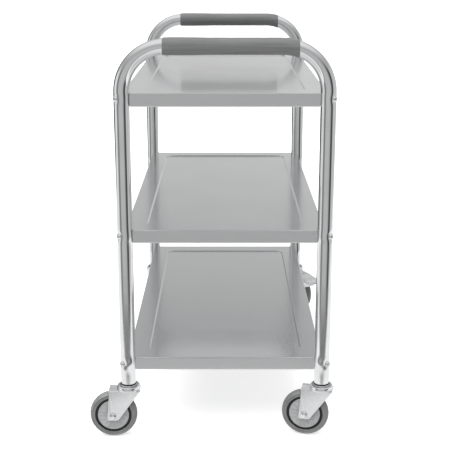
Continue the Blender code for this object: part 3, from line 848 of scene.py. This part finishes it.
def shelf_bolt_mesh():
    """A button-head bolt with a hexagonal socket. Its head faces +Z and its origin is on the leg's axis."""
    seat = TUBE_RADIUS - DENT_DEPTH
    top = seat + BOLT_HEAD_HEIGHT + DENT_DEPTH / 2
    dome = top - seat
    sections = [
        (lambda angle: hexagonal(angle, SOCKET_RADIUS) * 0.9, top - SOCKET_DEPTH),
        (lambda angle: hexagonal(angle, SOCKET_RADIUS), top - SOCKET_DEPTH * 0.9),
        (lambda angle: hexagonal(angle, SOCKET_RADIUS), top - 0.0003),
        (lambda angle: hexagonal(angle, SOCKET_RADIUS) * 1.08, top),
    ]
    for tilt in (20, 35, 50, 65, 80):
        reach = BOLT_HEAD_RADIUS * sin(radians(tilt)) ** 0.7
        height = seat + 0.0006 + (dome - 0.0006) * cos(radians(tilt)) ** 0.8
        sections.append((lambda angle, reach=reach: max(reach, SOCKET_RADIUS * 1.3), height))
    sections += [
        (lambda angle: BOLT_HEAD_RADIUS, seat + 0.0005),
        (lambda angle: BOLT_HEAD_RADIUS - 0.0002, seat),
        (lambda angle: BOLT_RADIUS, seat),
        (lambda angle: BOLT_RADIUS, -NUT_OUTER + 0.0004),
        (lambda angle: BOLT_RADIUS - 0.0004, -NUT_OUTER),
    ]
    return skinned([shaped_ring(radius_at, lambda angle: height, 48) for radius_at, height in sections])


def build_frame(finishes):
    hoop = hoop_mesh()
    grip = grip_mesh()
    shelf = shelf_mesh()
    bolt = shelf_bolt_mesh()
    for end, side in (("front", -1), ("rear", 1)):
        middle = Matrix.Translation((0, side * LEG_Y, 0))
        half_turn = Matrix.Rotation(pi * (side > 0), 4, "Z")
        show(f"{end}_hoop", hoop, [finishes["tube"]], "frame", "hoop_tube", middle @ half_turn)
        sleeve = show(f"{end}_grip", grip, [finishes["foam"]], "frame", "grip_foam", middle)
    for level in LEVELS:
        top = Matrix.Translation((0, 0, SHELF_TOPS[level]))
        show(f"{level}_shelf", shelf, [finishes["sheet"]], "frame", "shelf_sheet", top)
        for corner in CORNERS:
            node = f"{level}_shelf_bolt_{corner}"
            foot = Vector(JOINTS[f"{corner}_swivel"]["pos_m"])
            height = sum(end.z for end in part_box(node)) / 2
            outward = Vector((copysign(1, foot.x), copysign(1, foot.y), 0))
            place = Matrix.Translation((foot.x, foot.y, height)) @ facing(outward)
            show(node, bolt, [finishes["bright"]], "frame", "zinc_fastener", place)


# The casters


def bush_mesh():
    """The plastic bush in the end of a leg, with the collar that the leg stands on."""
    bore = STEM_RADIUS + GAP
    plug = TUBE_RADIUS - TUBE_WALL - GAP
    collar_top = LEG_BOTTOM_Z - GAP / 3
    corners = [
        (plug, BUSH_TOP_Z, 0),
        (plug, collar_top, 0),
        (COLLAR_RADIUS, collar_top, 0.0012),
        (COLLAR_RADIUS, COLLAR_BOTTOM_Z, 0.0006),
        (bore, COLLAR_BOTTOM_Z, 0),
        (bore, BUSH_TOP_Z, 0),
    ]
    return turned(rounded(corners), 64, closed=True)


def stem_mesh():
    """The caster's stem, with its upper race below the bush and the riveted kingpin under the crown."""
    race_top = COLLAR_BOTTOM_Z - GAP
    race_bottom = race_top - UPPER_RACE_SHEET
    rivet_top = CROWN_TOP_Z - FORK_SHEET - GAP
    rivet_bottom = rivet_top - RIVET_HEIGHT
    corners = [
        (0.001, STEM_TOP_Z, 0),
        (STEM_RADIUS, STEM_TOP_Z, 0.001),
        (STEM_RADIUS, race_top, 0),
        (UPPER_RACE_RADIUS, race_top, 0.001),
        (UPPER_RACE_RADIUS, race_bottom, 0.0008),
        (KINGPIN_RADIUS, race_bottom, 0),
        (KINGPIN_RADIUS, rivet_top, 0),
        (RIVET_RADIUS, rivet_top, 0),
        (RIVET_RADIUS, rivet_bottom, 0.0028),
        (0.001, rivet_bottom, 0),
    ]
    return turned(rounded(corners), 48)


def cup_mesh():
    """The lower race: a cup rolled over at its mouth and flared at its foot, pressed onto the crown."""
    foot = CROWN_TOP_Z + GAP / 3
    floor = CROWN_TOP_Z + CUP_SHEET
    waist = CUP_RADIUS - 0.0009
    corners = [
        (CUP_MOUTH_RADIUS, CUP_TOP_Z - 0.0012, 0),
        (CUP_MOUTH_RADIUS + 0.0006, CUP_TOP_Z, 0.0005),
        (waist, CUP_TOP_Z, 0.0026),
        (waist, foot + 0.0036, 0.0008),
        (CUP_RADIUS, foot + 0.0030, 0.0006),
        (CUP_RADIUS, foot + 0.0006, 0.0006),
        (CUP_RADIUS - 0.0022, foot, 0.0004),
        (KINGPIN_RADIUS + GAP, foot, 0),
        (KINGPIN_RADIUS + GAP, floor, 0),
        (CUP_MOUTH_RADIUS, floor, 0),
    ]
    return turned(rounded(corners), 96, closed=True)


def ball_race_mesh():
    """The balls between the two races, in the cage that spaces them."""
    low = CROWN_TOP_Z + CUP_SHEET + 2 * GAP
    high = COLLAR_BOTTOM_Z - UPPER_RACE_SHEET - 2 * GAP
    radius = (high - low) / 2
    middle = (high + low) / 2
    bm = bmesh.new()
    for centre in shaped_ring(lambda a: BALL_CIRCLE_RADIUS, lambda a: middle, BALL_COUNT):
        bmesh.ops.create_icosphere(bm, subdivisions=3, radius=radius, matrix=Matrix.Translation(centre))
    cage = [
        (BALL_CIRCLE_RADIUS + side * CAGE_HALF_WIDTH, middle + face * CAGE_HALF_SHEET)
        for side, face in ((1, 1), (1, -1), (-1, -1), (-1, 1))
    ]
    return joined([mesh_of(bm), turned(cage, 64, closed=True)])


def outward_face(bm, verts, outward):
    face = bm.faces.new(verts)
    face.normal_update()
    if face.normal.dot(Vector(outward)) < 0:
        face.normal_flip()
    return face


def folded_sheet(bm, sheet, fold_radius):
    """Half of a folded sheet, mirrored across its own XZ plane, with rounded folds and a thickness."""
    blank = new_object("blank", mesh_of(bm))
    mirror = blank.modifiers.new("other half", "MIRROR")
    mirror.use_axis = (False, True, False)
    mirror.merge_threshold = 0.00001
    add_bevel(blank, fold_radius, 6, radians(60))
    return thickened(blank, sheet)


def fork_outline(braked):
    """A side plate of the fork as (trail, height, corner radius) points, from its top front corner."""
    outline = [(CROWN_FRONT, CROWN_TOP_Z, 0), (CROWN_REAR - CROWN_TAPER, CROWN_TOP_Z, 0)]
    if braked:
        ear_u = PIN_U + EAR_REACH
        ear_top = (ear_u, PIN_Z + EAR_RISE, EAR_ROUNDING)
        ear_bottom = (ear_u, PIN_Z - EAR_FALL, EAR_ROUNDING)
        return outline + [EAR_SHOULDER, ear_top, ear_bottom, EAR_ROOT] + BRAKED_FORK_TOES
    return outline + FORK_TOES


def fork_mesh(braked):
    """The pressed fork: a flat crown under the race, folded down into a plate on each side."""
    bm = bmesh.new()
    edge = FORK_HALF_WIDTH
    plate = [bm.verts.new((u, edge, z)) for u, z in rounded(fork_outline(braked), steps=8)]
    outward_face(bm, plate, (0, 1, 0))
    front, rear = plate[:2]
    crown = [(CROWN_REAR, edge - CROWN_TAPER), (CROWN_REAR, 0), (CROWN_FRONT, 0)]
    crown_verts = [bm.verts.new((*place, CROWN_TOP_Z)) for place in crown]
    outward_face(bm, [front, rear] + crown_verts, (0, 0, 1))
    sheet = folded_sheet(bm, FORK_SHEET, FORK_FOLD_RADIUS)
    wide = FORK_HALF_WIDTH + FORK_SHEET
    above = (0, 0, CROWN_TOP_Z + FORK_SHEET)
    below = (0, 0, CROWN_TOP_Z - 3 * FORK_SHEET)
    holes = [
        rod(KINGPIN_RADIUS + GAP, above, below),
        rod(AXLE_RADIUS + GAP, (TRAIL, -wide, WHEEL_CENTRE_Z), (TRAIL, wide, WHEEL_CENTRE_Z)),
    ]
    if braked:
        holes.append(rod(PIN_RADIUS + GAP, (PIN_U, -wide, PIN_Z), (PIN_U, wide, PIN_Z)))
    return softened(combined(sheet, holes, "DIFFERENCE"), 0.0004)


def axle_bolt_mesh():
    """The axle bolt, along local Z, with a domed head at +Z that has a small flat in its middle."""
    seat = FORK_HALF_WIDTH + GAP / 3
    end = -seat - AXLE_END
    head = AXLE_HEAD_RADIUS
    corners = [
        (0.0008, seat + AXLE_HEAD_HEIGHT, 0),
        (head * 0.45, seat + AXLE_HEAD_HEIGHT, 0.0015),
        (head * 0.90, seat + AXLE_HEAD_HEIGHT * 0.55, 0.0018),
        (head, seat + AXLE_HEAD_HEIGHT * 0.10, 0.0004),
        (head, seat, 0),
        (AXLE_RADIUS, seat, 0),
        (AXLE_RADIUS, end, 0.0006),
        (0.0008, end, 0),
    ]
    return turned(rounded(corners), 64)


def axle_nut_mesh():
    """The hexagonal nut on the axle bolt's far end."""
    nut = hex_nut(AXLE_NUT_RADIUS, AXLE_NUT_HEIGHT, AXLE_RADIUS + GAP / 3)
    nut.transform(Matrix.Translation((0, 0, -FORK_HALF_WIDTH - GAP / 3 - AXLE_NUT_HEIGHT)))
    return nut


def rib_height(radius, angle):
    """How far the hub's face stands out at a place: low radial ribs that fade at both ends."""
    if not HUB_RIB_INNER < radius < HUB_RIB_OUTER:
        return 0.0
    across = ((angle * HUB_RIBS / (2 * pi) + 0.5) % 1 - 0.5) * 2 * pi * radius / HUB_RIBS
    return HUB_RIB_HEIGHT * exp(-((across / HUB_RIB_SPREAD) ** 2))


def hub_mesh():
    """The wheel's plastic centre: ribbed faces, a bright rim line, and a black channel round them, partly the
    rim's own dark plastic and partly painted shade in the recess.
    """
    half = [
        (AXLE_RADIUS + GAP, 0.0148),
        (0.0090, 0.0148),
        (0.0095, 0.0143),
        (0.0102, HUB_FACE_W),
        (HUB_RIB_INNER - 0.0005, HUB_FACE_W - 0.0004),
        (HUB_RIB_INNER + 0.0008, HUB_FACE_W - 0.0005),
        (0.0180, HUB_FACE_W - 0.0005),
        (0.0240, HUB_FACE_W - 0.0005),
        (HUB_RIB_OUTER - 0.0008, HUB_FACE_W - 0.0005),
        (HUB_RIB_OUTER + 0.0005, HUB_FACE_W - 0.0004),
        (0.0318, HUB_FACE_W - 0.0001),
        (0.0326, HUB_FACE_W),
        (HUB_FACE_RADIUS - 0.0003, HUB_FACE_W - 0.0001),
        (HUB_FACE_RADIUS, HUB_FACE_W - 0.0005),
        (HUB_FACE_RADIUS, RIM_W + 0.0006),
        (HUB_FACE_RADIUS + 0.0006, RIM_W),
        (RIM_RADIUS - 0.0006, RIM_W),
        (RIM_RADIUS, RIM_W + 0.0008),
        (RIM_RADIUS, 0.004),
    ]
    profile = both_sides(half)
    rings = [
        shaped_ring(lambda a: radius, lambda a: w + copysign(rib_height(radius, a), w), WHEEL_STEPS)
        for radius, w in profile
    ]
    face_rows = len(half) - 5
    last_row = len(profile) - 1

    # The channel's faces take the black finish: partly the rim's own dark plastic, partly painted shade in the
    # recess.
    def slot_of(row):
        return 1 if face_rows <= row < last_row - face_rows else 0

    return skinned(rings, cyclic=True, slot_of=slot_of)


def tyre_mesh():
    """The tyre: a lip on the rim, a hollow in the side wall, a raised shoulder and a crowned tread."""
    half = [
        (RIM_RADIUS + GAP / 3, 0.0060),
        (RIM_RADIUS + GAP / 3, 0.0108),
        (0.0397, 0.0112),
        (0.0406, 0.0114),
        (0.0416, 0.0111),
        (0.0430, 0.0105),
        (0.0444, 0.0106),
        (0.0452, 0.0115),
        (0.0459, 0.0118),
        (0.0465, 0.0114),
        (0.0478, 0.0101),
        (0.0490, 0.0083),
        (0.0499, 0.0062),
        (0.0506, 0.0038),
        (0.0509, 0.0018),
        (WHEEL_RADIUS, 0),
    ]
    return turned(both_sides(half), WHEEL_STEPS, closed=True)


def pedal_point(u, w, drop=0.0):
    """A point of the pedal's sloping top, or below it by the drop, measured from the pedal's pin."""
    height = PEDAL_TOP_Z - (u - CROWN_REAR) * tan(PEDAL_SLOPE)
    return (u - PIN_U, w, height - drop - PIN_Z)


def pedal_plate():
    """The pedal's folded sheet: a foot plate with a hem, and a cheek down each side of the fork."""
    edge_plan = [
        (PEDAL_NECK_START, PEDAL_NECK_HALF_WIDTH),
        (PEDAL_NECK_END, PEDAL_NECK_HALF_WIDTH),
        (PEDAL_NECK_END + PEDAL_FLARE, PEDAL_HALF_WIDTH),
        (PEDAL_TIP - PEDAL_TIP_CHAMFER, PEDAL_HALF_WIDTH),
        (PEDAL_TIP, PEDAL_HALF_WIDTH - PEDAL_TIP_CHAMFER),
    ]
    bm = bmesh.new()
    spine = [bm.verts.new(pedal_point(u, 0)) for u in (PEDAL_TIP, PEDAL_NECK_START)]
    edge = [bm.verts.new(pedal_point(u, w)) for u, w in edge_plan]
    outward_face(bm, spine + edge, (0, 0, 1))
    hem = [bm.verts.new(pedal_point(u, w, PEDAL_SKIRT)) for u, w in edge_plan[1:]]
    for index in range(len(hem) - 1):
        outward_face(bm, [edge[index + 1], edge[index + 2], hem[index + 1], hem[index]], (0.3, 1, 0))
    hem_middle = bm.verts.new(pedal_point(PEDAL_TIP, 0, PEDAL_SKIRT))
    outward_face(bm, [edge[-1], spine[0], hem_middle, hem[-1]], (1, 0, 0))
    eye = [bm.verts.new((u, PEDAL_NECK_HALF_WIDTH, z)) for u, z in rounded(PEDAL_EYE)[1:]]
    outward_face(bm, [edge[0], edge[1], hem[0]] + eye, (0, 1, 0))
    return folded_sheet(bm, PEDAL_SHEET, PEDAL_SHEET)


def shoe_plate():
    """The brake shoe: a flat plate that hangs from the pedal over the tyre."""
    top = Vector(pedal_point(PIN_U + SHOE_TOP_U, 0, PEDAL_SHEET / 2))
    foot = Vector(SHOE_FOOT)
    run = top - foot
    bm = bmesh.new()
    bmesh.ops.create_cube(bm, size=1)
    lean = Matrix.Rotation(asin(run.x / run.length), 4, "Y")
    width = 2 * PEDAL_NECK_HALF_WIDTH - PEDAL_SHEET
    scale = Matrix.Diagonal((SHOE_SHEET, width, run.length, 1))
    bm.transform(Matrix.Translation((top + foot) / 2) @ lean @ scale)
    return mesh_of(bm)


def ridge(u):
    """A rounded tread bar pressed across the foot plate, with domed ends."""
    half = PEDAL_HALF_WIDTH - 0.008
    profile = []
    for step in range(5):
        angle = pi / 2 * step / 4
        profile.append((max(RIDGE_RADIUS * sin(angle), 0.0001), -half - RIDGE_RADIUS * cos(angle)))
    bar = turned(both_sides(profile), 20)
    bar.transform(Matrix.Translation(pedal_point(u, 0, 0.0004)) @ Matrix.Rotation(pi / 2, 4, "X"))
    return bar


def pedal_mesh():
    """The brake pedal with its shoe over the tyre. Its origin is on its pin, and the brake is off."""
    reach = 2 * PEDAL_NECK_HALF_WIDTH
    pin_hole = rod(PIN_RADIUS + GAP, (0, -reach, 0), (0, reach, 0))
    whole = combined(pedal_plate(), [shoe_plate()], "UNION")
    whole = softened(combined(whole, [pin_hole], "DIFFERENCE"), 0.0003)
    return joined([whole] + [ridge(u) for u in PEDAL_RIDGES])


def brake_pin_mesh():
    """The pin of the brake pedal, along local Z, with a domed rivet head at each end."""
    seat = PEDAL_NECK_HALF_WIDTH + GAP / 3
    top = seat + PIN_HEAD_HEIGHT
    head = PIN_HEAD_RADIUS
    corners = [(0.0006, top, 0), (head, top, 0.0012), (head, seat, 0), (PIN_RADIUS, seat, 0)]
    return turned(both_sides(rounded(corners)), 40)


def caster_pieces():
    """Each caster piece as (mesh, finishes, record slot, where it rides)."""
    return {
        "leg_bush": (bush_mesh(), ["black"], "leg_bush", "frame"),
        "swivel_stem": (stem_mesh(), ["bright"], "zinc_fastener", "frame"),
        "race_cup": (cup_mesh(), ["bright"], "caster_zinc", "caster"),
        "ball_race": (ball_race_mesh(), ["bearing"], "bearing_steel", "caster"),
        "plain_fork": (fork_mesh(False), ["zinc"], "caster_zinc", "caster"),
        "braked_fork": (fork_mesh(True), ["zinc"], "caster_zinc", "caster"),
        "axle_bolt": (axle_bolt_mesh(), ["bright"], "zinc_fastener", "caster"),
        "axle_nut": (axle_nut_mesh(), ["bright"], "zinc_fastener", "caster"),
        "hub": (hub_mesh(), ["hub", "black"], "wheel_hub", "wheel"),
        "tyre": (tyre_mesh(), ["rubber"], "wheel_tyre", "wheel"),
        "brake_pedal": (pedal_mesh(), ["zinc"], "caster_zinc", "brake"),
        "brake_pin": (brake_pin_mesh(), ["black"], "brake_pin", "caster"),
    }


def caster_places(corner):
    """Where a caster's pieces go: its own frame, its axle and its brake pin."""
    foot = Vector(JOINTS[f"{corner}_swivel"]["pos_m"])
    wheel = Vector(JOINTS[f"{corner}_wheel_spin"]["pos_m"])
    trail = atan2(wheel.y - foot.y, wheel.x - foot.x)
    own = Matrix.Translation((foot.x, foot.y, 0)) @ Matrix.Rotation(trail, 4, "Z")
    along_axle = facing(Vector((0, 1, 0)))
    axle = own @ Matrix.Translation((TRAIL, 0, WHEEL_CENTRE_Z)) @ along_axle
    pivot = own @ Matrix.Translation((PIN_U, 0, PIN_Z))
    return own, axle, pivot, pivot @ along_axle


def build_caster(corner, pieces, finishes):
    own, axle, pivot, pin = caster_places(corner)
    places = dict.fromkeys(("leg_bush", "swivel_stem", "race_cup", "ball_race", "fork"), own)
    places |= dict.fromkeys(("axle_bolt", "axle_nut", "hub", "tyre"), axle)
    if corner in BRAKED:
        places["brake_pedal"] = pivot
        places["brake_pin"] = pin
    for piece, place in places.items():
        shape = piece
        if piece == "fork":
            shape = "braked_fork" if corner in BRAKED else "plain_fork"
        mesh, names, slot, rides = pieces[shape]
        body = "frame" if rides == "frame" else f"{corner}_{rides}"
        show(f"{corner}_{piece}", mesh, [finishes[name] for name in names], body, slot, place)


# The studio


def room_bands(tree, turn):
    """The room's brightness round the horizon, at a turn from the camera's side."""
    bands = tree.nodes.new("ShaderNodeValToRGB")
    stops = bands.color_ramp.elements
    while len(stops) < len(STUDIO_BANDS):
        stops.new(0.5)
    for stop, (angle, brightness) in zip(stops, STUDIO_BANDS):
        stop.position = (angle + 180) / 360
        stop.color = grey(brightness, 1.0)
    tree.links.new(ranged(tree, turn, 0, 1, -pi, pi), bands.inputs["Fac"])
    return bands.outputs["Color"]


def build_world():
    """A pale room with dark gaps between its soft boxes, and a floor that is white near the trolley."""
    world = bpy.data.worlds.new("studio")
    bpy.context.scene.world = world
    world.use_nodes = True
    tree = world.node_tree
    place = tree.nodes.new("ShaderNodeTexCoord")
    split = tree.nodes.new("ShaderNodeSeparateXYZ")
    tree.links.new(place.outputs["Generated"], split.inputs["Vector"])
    rise = split.outputs["Z"]
    ahead = worked_out(tree, "MULTIPLY", split.outputs["Y"], -1)
    depth = worked_out(tree, "MULTIPLY", rise, -1)
    room = room_bands(tree, worked_out(tree, "ARCTAN2", split.outputs["X"], ahead))
    leaning = worked_out(tree, "SUBTRACT", depth, worked_out(tree, "MULTIPLY", ahead, WHITE_LEAN))
    layers = [
        (rise, WALL_START, WALL_END, WALL_BRIGHTNESS),
        (rise, SKY_START, SKY_END, SKY_BRIGHTNESS),
        (depth, DIM_START, DIM_END, DIM_FLOOR),
        (leaning, WHITE_START, WHITE_END, WHITE_FLOOR),
    ]
    lit = room
    for value, start, end, brightness in layers:
        lit = mixed(tree, ranged(tree, value, 0, 1, start, end), lit, grey(brightness, 1.0))
    near = worked_out(tree, "MULTIPLY", ranged(tree, depth, 0, 1, NEAR_START, NEAR_END), NEAR_SHARE)
    seen = tree.nodes.new("ShaderNodeLightPath").outputs["Is Camera Ray"]
    whole = mixed(tree, seen, mixed(tree, near, lit, room), grey(1.0, 1.0))
    tree.links.new(whole, tree.nodes["Background"].inputs["Color"])


def build_floor():
    """A plain pale floor. Its glow is for the camera alone, and the steel reflects the world in its place."""
    bpy.ops.mesh.primitive_plane_add(size=FLOOR_SIZE)
    floor = bpy.context.object
    floor.name = "floor"
    material, tree, shader = new_material("pale_floor", grey(0.70, 1.0), 0.0, 0.9)
    shade(tree, shader, noise(tree, 0.5), grey(0.69, 1.0), grey(0.71, 1.0))
    shader.inputs["Emission Color"].default_value = grey(1.0, 1.0)
    seen = tree.nodes.new("ShaderNodeLightPath").outputs["Is Camera Ray"]
    tree.links.new(worked_out(tree, "MULTIPLY", seen, FLOOR_GLOW), shader.inputs["Emission Strength"])
    floor.data.materials.append(material)
    floor.visible_glossy = False


def build_light():
    light = bpy.data.lights.new("overhead", "SUN")
    light.energy = SUN_STRENGTH
    light.angle = SUN_ANGLE
    lamp = new_object("overhead", light)
    lamp.rotation_euler = SUN_TILT
    lamp.visible_glossy = False


def build_camera():
    camera = bpy.data.cameras.new("camera")
    camera.lens = CAMERA_LENS
    camera.shift_y = CAMERA_SHIFT
    holder = new_object("camera", camera)
    holder.location = (0, -LEG_Y - CAMERA_DISTANCE, CAMERA_HEIGHT)
    holder.rotation_euler = (pi / 2 - CAMERA_PITCH, 0, 0)
    bpy.context.scene.camera = holder


def main():
    bpy.context.scene.view_settings.view_transform = "Standard"
    finishes = {
        "tube": polished_tube(),
        "sheet": satin_sheet(),
        "zinc": zinc_plate("satin_zinc", 0.30, 0.00004),
        "bright": zinc_plate("bright_zinc", 0.16, 0.00001),
        "bearing": bearing_steel(),
        "foam": foam_sleeve(),
        "rubber": tyre_rubber(),
        "hub": moulded_plastic("hub_plastic", 0.34, 0.40, 0.45),
        "black": moulded_plastic("black_plastic", 0.012, 0.02, 0.4),
    }
    build_frame(finishes)
    pieces = caster_pieces()
    for corner in CORNERS:
        build_caster(corner, pieces, finishes)
    build_world()
    build_floor()
    build_light()
    build_camera()


main()
